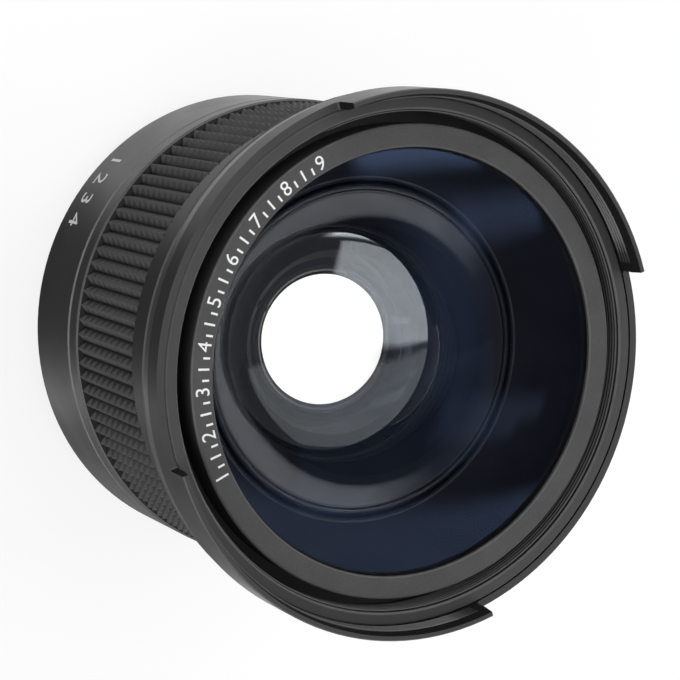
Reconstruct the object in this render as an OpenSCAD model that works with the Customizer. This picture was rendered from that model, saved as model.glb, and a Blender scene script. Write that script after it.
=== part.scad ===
// Screw-on fisheye conversion lens with a two-petal hood, a pyramid rubber grip and
// a rear unit that unscrews. Millimetres. Z is the optical axis and points to the front.
// The origin is the centre of the end of the rear thread, on which the lens stands.

/* [Rear mount] */
// Nominal diameter of the male mounting thread
mount_thread_d = 52; // [50:0.5:54]
// Length of the male mounting thread
mount_thread_len = 4; // [3:0.25:5]
// Wall of the mount ring at its thread
mount_wall = 2.2; // [1.8:0.1:2.6]
// Width of the mount ring's flange around its thread
mount_flange_w = 4; // [3.5:0.25:5]
// Depth to which the mount ring screws into the rear housing
mount_seat_depth = 4; // [3:0.25:4.5]
// Width of the two spanner slots in each retaining ring
spanner_slot_w = 1.6; // [1.2:0.1:2]
// Depth of the spanner slots
spanner_slot_depth = 1; // [0.6:0.1:1.2]

/* [Joint and rear unit] */
// Diameter of the thread that joins the rear unit to the front unit
joint_thread_d = 70; // [69:0.2:71]
// Engaged length of the joint thread
joint_thread_len = 4.5; // [3.5:0.25:4.75]
// Wall of the coupling ring around the joint thread
joint_wall = 1.7; // [1.5:0.1:2]
// Thickness of the shim in the joint
shim_t = 0.3; // [0.2:0.05:0.4]
// Step of the shim back from the outside of the joint
shim_step = 1; // [0.8:0.1:2]
// Length of the rear housing from its shoulder to the joint
rear_len = 15.1; // [14.5:0.1:16]
// Edge break of the rear housing
rear_edge = 0.5; // [0.2:0.1:1]
// Step of the rear housing and the coupling band out from the pyramids
band_step = 0.25; // [0.1:0.05:0.5]
// Length of the coupling band behind the grip
band_len = 3.5; // [3:0.1:4]

/* [Grip and barrel] */
// Wall of the barrel under the grip
barrel_wall = 1.7; // [1.5:0.05:1.8]
// Length of the rubber grip
grip_len = 23; // [22:0.25:24]
// Number of pyramid rows around the grip
grip_row_count = 103; // [60:1:110]
// Number of pyramids along each row
grip_tooth_count = 10; // [6:1:11]
// Depth of the grooves between the rows
grip_groove = 1.25; // [0.8:0.05:1.4]
// Depth of the notches between the pyramids of a row
grip_notch = 0.75; // [0.4:0.05:0.8]
// Thickness of the rubber under the grooves
grip_skin = 0.7; // [0.5:0.05:0.8]
// Step of the smooth neck in from the pyramids
neck_step = 0.15; // [0.05:0.05:0.3]
// Wall of the neck around the lens cell
neck_wall = 1.85; // [1.7:0.05:2]
// Length of the smooth neck ahead of the grip
neck_len = 8.5; // [8:0.1:9.5]

/* [Hood] */
// Wall of the barrel flange around the front thread
flange_wall = 2.1; // [2:0.05:2.4]
// Wall of the petal hood
hood_wall = 1.25; // [1.1:0.05:1.5]
// Height of the hood below the cut-outs
hood_skirt = 6.5; // [6:0.1:7]
// Height of the petals above the cut-outs
petal_h = 4.9; // [3:0.1:6]
// Angle that each petal covers
petal_angle = 90; // [70:1:110]
// Radius at the foot of each petal end
petal_foot_r = 0.9; // [0.5:0.1:1.4]
// Height of the bevel inside each petal's edge
petal_bevel_h = 2; // [1:0.1:2.5]
// Height of the taper at the rear of the hood
hood_taper_h = 3; // [2:0.1:4]
// Depth of the taper at the rear of the hood
hood_taper = 0.5; // [0.2:0.05:0.6]
// Open gap between the hood's rear edge and the barrel's flare
hood_lift = 0.4; // [0.2:0.05:0.6]

/* [Front glass] */
// Inner diameter of the front retaining ring
name_ring_in_d = 69.6; // [69:0.1:70.2]
// Width of the front retaining ring's face
name_ring_w = 3.65; // [3.5:0.05:3.8]
// Thickness of the front retaining ring's face
name_ring_t = 0.8; // [0.7:0.05:1]
// Width of the groove between the front retaining ring and the front thread
groove_w = 2.3; // [2.1:0.05:2.5]
// Depth of that groove
groove_depth = 6.1; // [5.5:0.1:6.5]
// Width of the front element's edge under the retaining ring
front_lip = 1.85; // [1.7:0.05:1.9]
// Radius of the front element's convex face
front_dome_r = 120; // [110:1:150]
// Thickness of the gasket on the front element at its inner edge
front_gasket_t = 0.35; // [0.3:0.05:0.5]
// Radius of the front element's hollow rear face
front_hollow_r = 27; // [26.5:0.1:27.5]
// Half angle of that hollow at its rim
front_hollow_angle = 67.8; // [66:0.1:68.5]
// Width of the front element's flat rear rim
front_rim_w = 1.6; // [1.5:0.1:2.2]
// Thickness of the gasket under the front element
seat_gasket_t = 0.3; // [0.2:0.05:0.4]

/* [Middle glass] */
// Diameter of the second element
second_d = 50.6; // [50:0.1:51]
// Distance from the front element's rim to the second element's rim
second_gap = 1.8; // [1.7:0.1:2.2]
// Radius of the second element's front hollow
second_front_r = 100; // [90:1:120]
// Flat rim of the second element under the field stop
second_front_lip = 1.1; // [1:0.1:1.4]
// Thickness of the second element at its centre
second_centre_t = 2.6; // [2.2:0.1:3]
// Radius of the second element's rear hollow
second_rear_r = 60; // [56:0.5:70]
// Flat rim of the second element on its retaining ring
second_rear_lip = 3.5; // [3.3:0.1:3.8]
// Thickness of the field stop ahead of the second element
field_stop_t = 0.4; // [0.3:0.05:0.5]

/* [Rear glass] */
// Diameter of the rear doublet
doublet_d = 46; // [45.6:0.1:46.4]
// Radius of the doublet's front face
doublet_front_r = 36; // [35.5:0.1:38]
// Radius of the doublet's cemented face
doublet_cement_r = 50; // [49:0.25:54]
// Edge thickness of the front half of the doublet
crown_edge_t = 1.2; // [1:0.1:1.4]
// Centre thickness of the rear half of the doublet
flint_centre_t = 2; // [1.6:0.1:2.2]
// Thickness of the ring under the doublet
rear_seat_t = 1; // [0.8:0.1:1.2]
// Width of that ring, which masks the doublet's edge
rear_seat_w = 2.7; // [2:0.1:3]

/* [Clearances] */
// Radial gap between pieces that are seated in one another
seat_gap = 0.05; // [0.03:0.01:0.08]
// Radial gap of the joint thread
thread_gap = 0.05; // [0.03:0.01:0.08]
// Radial gap between the hood and the barrel flange
hood_gap = 0.1; // [0.06:0.01:0.15]
// Cement layer of the doublet
cement_t = 0.02; // [0.01:0.01:0.03]

/* [Hidden] */
$fn = 180;
lens_fn = 360;
foot_fn = 48;
eps = 0.01;
reach = 100;
// Edge break of machined rims
edge_break = 0.3;
// Play along the axis between seated pieces
end_play = 0.1;

// Radii from the joint thread outwards
joint_r = joint_thread_d / 2;
sleeve_r = joint_r + joint_wall;
barrel_in_r = sleeve_r + seat_gap;
barrel_r = barrel_in_r + barrel_wall;
grip_in_r = barrel_r + seat_gap;
groove_r = grip_in_r + grip_skin;
peak_r = groove_r + grip_groove;
rear_r = peak_r + band_step;

// Radii of the front, wide enough for both the retaining ring and the grip
name_in_r = name_ring_in_d / 2;
name_r = max(name_in_r + name_ring_w, peak_r - neck_step - neck_wall);
neck_r = name_r + neck_wall;
front_thread_r = name_r + groove_w;
flange_r = front_thread_r + flange_wall;
hood_in_r = flange_r + hood_gap;
hood_r = hood_in_r + hood_wall;
hood_foot_r = hood_r - hood_taper;
flare_r = hood_foot_r;

// Heights of the outside, from the rear
z_shoulder = mount_thread_len;
z_joint = z_shoulder + rear_len;
z_coupling = z_joint + shim_t;
z_grip = z_coupling + band_len;
z_neck = z_grip + grip_len;
z_flare = z_neck + neck_len;
z_hood = z_flare + flare_r - neck_r + edge_break;
z_rim = z_hood + hood_skirt;
z_top = z_rim + petal_h;

// Second element, stacked up from the joint
z_spigot = z_coupling + joint_thread_len;
tail_clearance = 2.1;
z_tail = z_spigot + tail_clearance;
z_retainer = z_tail + 2 * end_play;
second_retainer_t = 2;
z_second_rim = z_retainer + second_retainer_t;
second_r = second_d / 2;
second_bore_r = second_r + seat_gap;
stop_r = second_r - second_front_lip;
second_rear_rim_r = second_r - second_rear_lip;
z_second_back = z_second_rim + second_rear_r
    - sqrt(pow(second_rear_r, 2) - pow(second_rear_rim_r, 2));
z_second_front = z_second_back + second_centre_t;
z_second = z_second_front + second_front_r
    - sqrt(pow(second_front_r, 2) - pow(stop_r, 2));
z_stop = z_second + field_stop_t;

// Front retaining ring and its gasket
name_drop = 0.1;
name_edge = 0.25;
gasket_inset = 0.5;
gasket_in_r = name_in_r + gasket_inset;
z_name = z_rim - name_drop;
z_name_under = z_name - name_ring_t;

// Front element: the gasket sets its apex and the second element its seat
front_glass_r = name_in_r + front_lip;
front_bore_r = front_glass_r + seat_gap;
hollow_rim_r = front_hollow_r * sin(front_hollow_angle);
front_seat_r = hollow_rim_r + front_rim_w;
z_front_rim = z_second + second_gap;
z_hollow = z_front_rim + front_hollow_r * (1 - cos(front_hollow_angle));
z_apex = z_name_under - front_gasket_t
    + front_dome_r - sqrt(pow(front_dome_r, 2) - pow(gasket_in_r, 2));
dome_drop = front_dome_r - sqrt(pow(front_dome_r, 2) - pow(front_glass_r, 2));

// Lens cell
cell_r = name_r - seat_gap;
cell_low_r = barrel_in_r - seat_gap;
cell_flange_t = 1.5;
cell_step_h = 1.5;
cell_guide_h = 4;
cone_wall = 1.65;
tail_inset = 5.75;
web_drop = 0.9;
stop_inset = 0.7;
tail_r = joint_r - tail_inset;
z_front_seat = z_front_rim - seat_gasket_t;
z_groove = z_rim - groove_depth;
z_cell_flange = z_groove - cell_flange_t;
z_cell_step = z_neck + cell_step_h;
cone_slope = (z_cell_step - z_front_rim) / (cell_low_r - cone_wall - front_seat_r);
z_cone = z_front_rim + (front_glass_r - front_seat_r) * cone_slope;
z_web = z_stop - web_drop;

// Skirt of the front retaining ring
skirt_len = 1.8;
skirt_wall = 0.6;
skirt_in_r = front_bore_r + name_edge;
skirt_r = skirt_in_r + skirt_wall;

// Baffle around the cell's tail, on top of the coupling ring's sleeve
baffle_rim_t = 1.5;
baffle_rise = 1.5;
baffle_t = 0.8;
baffle_lip = 2.9;
baffle_in_r = tail_r - baffle_lip;
z_baffle = z_tail + baffle_rise;

// Rear unit
spigot_r = joint_r - thread_gap;
spigot_wall = 2.5;
mount_r = mount_thread_d / 2;
mount_flange_r = mount_r + mount_flange_w;
z_mount_stop = z_shoulder + mount_seat_depth;
web_t = 1;
floor_t = 2;
z_lens_stop = z_mount_stop + web_t;
z_floor = z_mount_stop + floor_t;
doublet_r = doublet_d / 2;
doublet_bore_r = doublet_r + seat_gap;
doublet_lip = 1.5;
lens_stop_r = doublet_r - doublet_lip;
tube_wall = 4;
tube_r = doublet_bore_r + tube_wall;
z_flint = z_lens_stop + rear_seat_t;
z_cement = z_flint + flint_centre_t;
z_flint_edge = z_cement + doublet_cement_r - sqrt(pow(doublet_cement_r, 2) - pow(doublet_r, 2));
z_crown_edge = z_flint_edge + crown_edge_t;
z_crown = z_crown_edge + doublet_front_r - sqrt(pow(doublet_front_r, 2) - pow(doublet_r, 2));
rear_retainer_w = 1.2;
rear_retainer_t = 2.4;
z_tube = z_crown_edge + rear_retainer_t;

// Straight ring between two radii and two heights
module ring(r_in, r_out, z0, z1) {
    translate([0, 0, z0])
        difference() {
            cylinder(r = r_out, h = z1 - z0);
            translate([0, 0, -eps])
                cylinder(r = r_in, h = z1 - z0 + 2 * eps);
        }
}

// Sphere that touches the given height from below
module ball_under(r, z_touch) {
    translate([0, 0, z_touch - r])
        sphere(r = r, $fn = lens_fn);
}

// Sphere that touches the given height from above
module ball_over(r, z_touch) {
    translate([0, 0, z_touch + r])
        sphere(r = r, $fn = lens_fn);
}

// Pair of spanner slots across a ring's face
module spanner_slots(z_floor_of_slot, up) {
    z_low = up ? z_floor_of_slot : z_floor_of_slot - reach;
    translate([-reach / 2, -spanner_slot_w / 2, z_low])
        cube([reach, spanner_slot_w, reach]);
}

// Main barrel: grip channel, smooth neck, flare and the flange with the front thread
module front_barrel() {
    color("#2b2b2d")
        rotate_extrude()
            polygon([
                [barrel_in_r, z_grip],
                [barrel_r, z_grip],
                [barrel_r, z_neck],
                [neck_r, z_neck],
                [neck_r, z_flare],
                [flare_r, z_hood - edge_break],
                [flare_r - edge_break, z_hood],
                [flange_r, z_hood],
                [flange_r, z_rim - edge_break],
                [flange_r - edge_break, z_rim],
                [front_thread_r + edge_break, z_rim],
                [front_thread_r, z_rim - edge_break],
                [front_thread_r, z_cell_flange],
                [name_r, z_cell_flange],
                [name_r, z_cell_step],
                [barrel_in_r, z_cell_step]
            ]);
}

// One cut-out between the petals, centred on +X, with a round foot at both ends
module hood_cut_out() {
    half = 90 - petal_angle / 2;
    foot = asin(petal_foot_r / hood_r);
    side = 1.5 * hood_r;
    z_foot = z_rim + petal_foot_r;
    translate([0, 0, z_foot])
        linear_extrude(height = petal_h)
            polygon([
                [0, 0],
                [side * cos(half), -side * sin(half)],
                [side, 0],
                [side * cos(half), side * sin(half)]
            ]);
    translate([0, 0, z_rim])
        linear_extrude(height = petal_h)
            polygon([
                [0, 0],
                [side * cos(half - foot), -side * sin(half - foot)],
                [side, 0],
                [side * cos(half - foot), side * sin(half - foot)]
            ]);
    for (end = [-1, 1])
        rotate([0, 0, end * (half - foot)])
            translate([0, 0, z_foot])
                rotate([0, 90, 0])
                    cylinder(r = petal_foot_r, h = side, $fn = foot_fn);
}

// Hood ring that screws over the barrel flange, with two petals on +Y and -Y
module petal_hood() {
    lip = 0.2;
    seat_w = 0.3;
    color("#232325")
        difference() {
            rotate_extrude()
                polygon([
                    [hood_in_r, z_hood],
                    [hood_in_r + seat_w, z_hood],
                    [hood_in_r + seat_w, z_hood + hood_lift],
                    [hood_foot_r, z_hood + hood_lift],
                    [hood_r, z_hood + hood_taper_h],
                    [hood_r, z_top - lip],
                    [hood_r - lip, z_top],
                    [hood_in_r + 2 * lip, z_top],
                    [hood_in_r, z_top - petal_bevel_h]
                ]);
            for (turn = [0, 180])
                rotate([0, 0, turn])
                    hood_cut_out();
        }
}

// Rubber sleeve whose outside is a grid of pyramids: each cell has a peak, and the
// corners of the cells lie in the grooves between the rows. Each row ends in half a
// pyramid, so both ends of the sleeve stand at full height
module rubber_grip() {
    rows = grip_row_count;
    teeth = grip_tooth_count;
    row_angle = 360 / rows;
    pitch = grip_len / teeth;
    notch_r = peak_r - grip_notch;
    bore_r = grip_in_r / cos(row_angle / 2);
    column = teeth + 2;
    last = teeth + 1;
    function at(r, angle, z) = [r * cos(angle), r * sin(angle), z];
    function level(j) = z_grip + pitch * min(max(j - 0.5, 0), teeth);
    corners = [for (i = [0:rows - 1]) for (j = [0:last])
        at(groove_r, i * row_angle, level(j))];
    notches = [for (i = [0:rows - 1]) for (j = [1:teeth])
        at(notch_r, (i + 0.5) * row_angle, level(j))];
    peaks = [for (i = [0:rows - 1]) for (j = [0:teeth])
        at(peak_r, (i + 0.5) * row_angle, z_grip + j * pitch)];
    bore = [for (i = [0:rows - 1]) for (end = [0, 1])
        at(bore_r, i * row_angle, z_grip + end * grip_len)];
    notch_0 = rows * column;
    peak_0 = notch_0 + rows * teeth;
    bore_0 = peak_0 + rows * last;
    function next(i) = (i + 1) % rows;
    function corner(i, j) = i * column + j;
    function notch(i, j) = notch_0 + i * teeth + j - 1;
    function peak(i, j) = peak_0 + i * last + j;
    function inner(i, end) = bore_0 + 2 * i + end;
    function near_side(i, j) = j == 0
        ? [corner(next(i), 0)]
        : [corner(i, j), notch(i, j), corner(next(i), j)];
    function far_side(i, j) = j == last
        ? [corner(next(i), last)]
        : [corner(next(i), j), notch(i, j), corner(i, j)];
    function rim(i, j) = j == teeth
        ? concat([corner(i, last)], near_side(i, j), far_side(i, last))
        : concat(near_side(i, j), far_side(i, j + 1), [corner(i, j)]);
    pyramids = [for (i = [0:rows - 1]) for (j = [0:teeth])
        let (edge = rim(i, j))
        for (k = [1:len(edge) - 1]) [peak(i, j), edge[k], edge[k - 1]]];
    walls = [for (i = [0:rows - 1]) each [
        [inner(i, 0), inner(next(i), 0), inner(next(i), 1)],
        [inner(i, 0), inner(next(i), 1), inner(i, 1)]
    ]];
    ends = [for (i = [0:rows - 1]) each [
        [peak(i, 0), inner(next(i), 0), inner(i, 0)],
        [peak(i, 0), inner(i, 0), corner(i, 0)],
        [peak(i, 0), corner(next(i), 0), inner(next(i), 0)],
        [peak(i, teeth), inner(i, 1), inner(next(i), 1)],
        [peak(i, teeth), corner(i, last), inner(i, 1)],
        [peak(i, teeth), inner(next(i), 1), corner(next(i), last)]
    ]];
    color("#3c3c3d")
        polyhedron(
            points = concat(corners, notches, peaks, bore),
            faces = concat(pyramids, walls, ends)
        );
}

// Ring at the rear of the front unit: a band outside, the joint thread inside
module coupling_ring() {
    color("#4a4a4c")
        rotate_extrude()
            polygon([
                [joint_r, z_coupling],
                [rear_r - edge_break, z_coupling],
                [rear_r, z_coupling + edge_break],
                [rear_r, z_grip - edge_break],
                [rear_r - edge_break, z_grip],
                [sleeve_r, z_grip],
                [sleeve_r, z_baffle],
                [joint_r, z_baffle]
            ]);
}

// Cell that carries the front and the second element
module lens_cell() {
    z_skirt = z_name_under - skirt_len - end_play;
    z_step = z_cell_step + end_play;
    flange_out_r = front_thread_r - seat_gap;
    color("#161618")
        rotate_extrude()
            polygon([
                [stop_r + stop_inset, z_stop],
                [stop_r + stop_inset, z_front_seat],
                [front_seat_r + seat_gap, z_front_seat],
                [front_bore_r, z_cone],
                [front_bore_r, z_skirt],
                [skirt_r + seat_gap, z_skirt],
                [skirt_r + seat_gap, z_name_under],
                [cell_r, z_name_under],
                [cell_r, z_groove],
                [flange_out_r, z_groove],
                [flange_out_r, z_cell_flange],
                [cell_r, z_cell_flange],
                [cell_r, z_step],
                [cell_low_r, z_step],
                [cell_low_r, z_step - cell_guide_h],
                [tail_r, z_web],
                [tail_r, z_tail],
                [second_bore_r, z_tail],
                [second_bore_r, z_stop]
            ]);
}

// Front retaining ring: the plain face around the glass, with a threaded skirt behind
module name_ring() {
    color("#58585a")
        rotate_extrude()
            polygon([
                [name_in_r, z_name_under],
                [name_in_r, z_name - name_edge],
                [name_in_r + name_edge, z_name],
                [name_r - name_edge, z_name],
                [name_r, z_name - name_edge],
                [name_r, z_name_under],
                [skirt_r, z_name_under],
                [skirt_r, z_name_under - skirt_len],
                [skirt_in_r, z_name_under - skirt_len],
                [skirt_in_r, z_name_under]
            ]);
}

// Rubber gasket between the retaining ring and the front element
module front_gasket() {
    color("#101010")
        difference() {
            ring(
                gasket_in_r, front_glass_r - end_play,
                z_apex - dome_drop - end_play, z_name_under
            );
            ball_under(front_dome_r, z_apex);
        }
}

// Front element: a thick meniscus with a conical edge and a deep hollow behind
module front_element() {
    color("#1d2536")
        difference() {
            intersection() {
                rotate_extrude($fn = lens_fn)
                    polygon([
                        [0, z_front_rim],
                        [front_seat_r, z_front_rim],
                        [front_glass_r, z_cone],
                        [front_glass_r, z_apex + dome_drop],
                        [0, z_apex + dome_drop]
                    ]);
                ball_under(front_dome_r, z_apex);
            }
            ball_under(front_hollow_r, z_hollow);
        }
}

// Thin gasket under the rim of the front element
module seat_gasket() {
    color("#202020")
        ring(
            hollow_rim_r + gasket_inset, front_seat_r - gasket_inset,
            z_front_seat, z_front_rim
        );
}

// Thin blackened washer that masks the edge of the second element
module field_stop() {
    color("#0e0e0f")
        ring(stop_r, second_r, z_second, z_stop);
}

// Second element, hollow on both faces
module second_element() {
    color("#22304a")
        difference() {
            translate([0, 0, z_second_rim])
                cylinder(r = second_r, h = z_second - z_second_rim);
            ball_over(second_front_r, z_second_front);
            ball_under(second_rear_r, z_second_back);
        }
}

// Threaded ring that holds the second element from behind
module second_retainer() {
    color("#1a1a1c")
        difference() {
            ring(second_rear_rim_r + edge_break, second_r, z_retainer, z_second_rim);
            spanner_slots(z_retainer + spanner_slot_depth, false);
        }
}

// Blackened cone that closes the space around the cell's tail
module baffle_cone() {
    color("#121213")
        rotate_extrude()
            polygon([
                [sleeve_r, z_baffle],
                [sleeve_r, z_baffle + baffle_rim_t],
                [tail_r, z_tail],
                [baffle_in_r, z_tail],
                [baffle_in_r, z_tail - baffle_t],
                [tail_r, z_tail - baffle_t],
                [joint_r, z_baffle]
            ]);
}

// Thin shim between the two units
module joint_shim() {
    color("#b0893c")
        ring(joint_r + edge_break, rear_r - shim_step, z_joint, z_coupling);
}

// Rear housing: outer ring, joint spigot and the tube that holds the doublet
module rear_housing() {
    color("#333335")
        rotate_extrude()
            polygon([
                [mount_flange_r + seat_gap, z_shoulder],
                [rear_r - rear_edge, z_shoulder],
                [rear_r, z_shoulder + rear_edge],
                [rear_r, z_joint - edge_break],
                [rear_r - edge_break, z_joint],
                [spigot_r, z_joint],
                [spigot_r, z_spigot],
                [spigot_r - spigot_wall, z_spigot],
                [spigot_r - spigot_wall, z_floor],
                [tube_r, z_floor],
                [tube_r, z_tube],
                [doublet_bore_r, z_tube],
                [doublet_bore_r, z_lens_stop],
                [lens_stop_r, z_lens_stop],
                [lens_stop_r, z_mount_stop],
                [mount_flange_r + seat_gap, z_mount_stop]
            ]);
}

// Ring under the doublet
module rear_seat_ring() {
    color("#1a1a1c")
        ring(doublet_r - rear_seat_w, doublet_r, z_lens_stop, z_flint);
}

// Rear half of the cemented doublet
module rear_flint() {
    color("#3a4a5e")
        difference() {
            translate([0, 0, z_flint])
                cylinder(r = doublet_r, h = z_flint_edge - z_flint);
            ball_over(doublet_cement_r, z_cement);
        }
}

// Front half of the cemented doublet
module rear_crown() {
    color("#4a5a70")
        intersection() {
            translate([0, 0, z_cement])
                cylinder(r = doublet_r, h = reach);
            ball_over(doublet_cement_r, z_cement + cement_t);
            ball_under(doublet_front_r, z_crown);
        }
}

// Threaded ring that holds the doublet from the front
module rear_retainer() {
    color("#1a1a1c")
        difference() {
            ring(doublet_r - rear_retainer_w, doublet_r, z_crown_edge - end_play, z_tube);
            ball_under(doublet_front_r, z_crown);
            spanner_slots(z_tube - spanner_slot_depth, true);
        }
}

// Mount ring with the male thread that screws into a camera lens
module mount_ring() {
    thread_edge = 0.4;
    slot_start = 0.5;
    bore_r = mount_r - mount_wall;
    color("#77777a")
        difference() {
            rotate_extrude()
                polygon([
                    [bore_r, 0],
                    [mount_r - thread_edge, 0],
                    [mount_r, thread_edge],
                    [mount_r, z_shoulder],
                    [mount_flange_r, z_shoulder],
                    [mount_flange_r, z_mount_stop],
                    [bore_r, z_mount_stop]
                ]);
            difference() {
                spanner_slots(z_shoulder + spanner_slot_depth, false);
                cylinder(r = mount_r + slot_start, h = reach, center = true);
            }
        }
}

front_barrel();
petal_hood();
rubber_grip();
coupling_ring();
lens_cell();
name_ring();
front_gasket();
front_element();
seat_gasket();
field_stop();
second_element();
second_retainer();
baffle_cone();
joint_shim();
rear_housing();
rear_seat_ring();
rear_flint();
rear_crown();
rear_retainer();
mount_ring();
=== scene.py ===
"""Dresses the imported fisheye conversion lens: finishes, glass, threads, marks and studio.

Lengths are in metres, angles of fields in degrees and scales per metre.
"""

import logging
import math
from collections.abc import Callable, Sequence
from dataclasses import dataclass, replace
from enum import Enum
from functools import partial, reduce

import bmesh
import bpy
from bmesh.types import BMesh, BMVert
from bpy.types import ID, Material, Node, NodeSocket as Socket, NodeTree, Object
from mathutils import Matrix, Vector


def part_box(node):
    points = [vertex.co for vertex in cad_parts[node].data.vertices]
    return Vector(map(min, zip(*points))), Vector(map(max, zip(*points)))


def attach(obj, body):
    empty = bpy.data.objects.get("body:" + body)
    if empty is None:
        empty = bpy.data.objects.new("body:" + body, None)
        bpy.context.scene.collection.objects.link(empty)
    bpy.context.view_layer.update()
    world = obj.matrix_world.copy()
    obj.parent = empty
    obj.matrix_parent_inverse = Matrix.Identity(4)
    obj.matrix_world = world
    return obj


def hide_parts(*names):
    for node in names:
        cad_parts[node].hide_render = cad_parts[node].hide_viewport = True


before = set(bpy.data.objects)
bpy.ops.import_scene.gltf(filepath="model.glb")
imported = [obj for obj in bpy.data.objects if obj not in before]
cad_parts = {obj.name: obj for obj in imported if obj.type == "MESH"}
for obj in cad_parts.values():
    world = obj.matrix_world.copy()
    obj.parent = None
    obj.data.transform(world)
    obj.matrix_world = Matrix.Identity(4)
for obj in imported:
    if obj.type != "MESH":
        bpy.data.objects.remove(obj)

LOG = logging.getLogger("lens")
MM = 0.001
PITCH = 0.75 * MM
IMAGE_PX = 680
SENSOR_MM = 36.0

Pair = tuple[float, float]
Triple = tuple[float, float, float]
Colour = Triple
Profile = list[Pair]
Sockets = bpy.types.bpy_prop_collection
Value = float | Socket
Wires = dict[str, Socket]
# Maps a point in a mark's plane and a height over the metal to the model.
Placing = Callable[[Vector, float], Vector]

WHITE: Colour = (1.0, 1.0, 1.0)


class Body(str, Enum):
    """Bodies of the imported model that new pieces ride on."""

    FRONT = "front_unit"
    REAR = "rear_unit"


class Slot(str, Enum):
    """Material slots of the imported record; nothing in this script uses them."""

    ANODISED = "black_anodised"
    GLASS = "coated_glass"


class Side(Enum):
    """Which way the crest of a thread points."""

    INWARD = -1
    OUTWARD = 1


def rgba(colour: Colour) -> tuple[float, float, float, float]:
    """Adds a full alpha to a colour."""
    return (*colour, 1.0)


def scaled(colour: Colour, share: float) -> Colour:
    """Makes a colour lighter or darker."""
    red, green, blue = colour
    return (red * share, green * share, blue * share)


@dataclass
class Graph:
    """Thin wrapper around a node tree that makes and joins nodes."""

    tree: NodeTree

    def feed(self, target: Socket, value: Value | Sequence[float]) -> None:
        """Joins an output to an input, or sets the input's own value.

        Args:
            target: input socket.
            value: output socket, number, vector or colour.
        """
        if isinstance(value, Socket):
            self.tree.links.new(value, target)
        else:
            target.default_value = value

    def node(
        self, kind: str, feeds: dict[str | int, object] | None = None, **settings: object
    ) -> Node:
        """Makes a node.

        Args:
            kind: the node's type name without its ShaderNode prefix.
            feeds: what goes into its inputs, by name or index.
            **settings: properties to set on the node.

        Returns:
            The new node.
        """
        made = self.tree.nodes.new("ShaderNode" + kind)
        for name, value in settings.items():
            setattr(made, name, value)
        for key, value in (feeds or {}).items():
            self.feed(made.inputs[key], value)
        return made

    def math(self, operation: str, *operands: Value) -> Socket:
        """Makes a Math node."""
        return self.node("Math", dict(enumerate(operands)), operation=operation).outputs[0]

    def remap(
        self, value: Socket, low: Value, high: Value, to_low: float = 0.0,
        to_high: float = 1.0, smooth: bool = False,
    ) -> Socket:
        """Maps a value from one range to another, clamped.

        Args:
            value: output socket to map.
            low: start of the source range.
            high: end of the source range.
            to_low: start of the target range.
            to_high: end of the target range.
            smooth: whether the ramp has soft ends.

        Returns:
            The mapped output socket.
        """
        names = ("Value", "From Min", "From Max", "To Min", "To Max")
        feeds = dict(zip(names, (value, low, high, to_low, to_high)))
        kind = "SMOOTHSTEP" if smooth else "LINEAR"
        return self.node("MapRange", feeds, interpolation_type=kind).outputs["Result"]

    def mix(
        self, mask: Value, first: Colour | Socket, second: Colour | Socket,
        blend: str = "MIX",
    ) -> Socket:
        """Mixes two colours by a mask.

        Args:
            mask: number or output socket between 0 and 1.
            first: colour where the mask is 0.
            second: colour where the mask is 1.
            blend: how the second colour is laid over the first.

        Returns:
            The mixed colour's output socket.
        """
        made = self.node("Mix", data_type="RGBA", blend_type=blend)
        for label, value in (("Factor", mask), ("A", first), ("B", second)):
            self.feed(made.inputs[label], rgba(value) if isinstance(value, tuple) else value)
        return made.outputs["Result"]

    def noise(self, vector: Socket, scale: Value, detail: float) -> Socket:
        """Makes a noise in space."""
        feeds = {"Vector": vector, "Scale": scale, "Detail": detail}
        return self.node("TexNoise", feeds).outputs["Fac"]

    def split(self, vector: Socket) -> Sequence[Socket]:
        """Splits a vector."""
        return list(self.node("SeparateXYZ", {0: vector}).outputs)

    def vector(self, operation: str, *operands: Socket | Sequence[float]) -> Sockets:
        """Makes a Vector Math node."""
        return self.node("VectorMath", dict(enumerate(operands)), operation=operation).outputs

    def flat(self, vector: Socket) -> Socket:
        """Lays a vector into the plane across the Z axis."""
        return self.vector("MULTIPLY", vector, (1.0, 1.0, 0.0))["Vector"]

    def radius(self, vector: Socket) -> Socket:
        """Measures the distance from the Z axis."""
        return self.vector("LENGTH", self.flat(vector))["Value"]

    def facing(self, vector: Socket, direction: Sequence[float]) -> Socket:
        """Finds the cosine of the angle between a vector and a unit direction."""
        unit = self.vector("NORMALIZE", vector)["Vector"]
        return self.vector("DOT_PRODUCT", unit, direction)["Value"]


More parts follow.
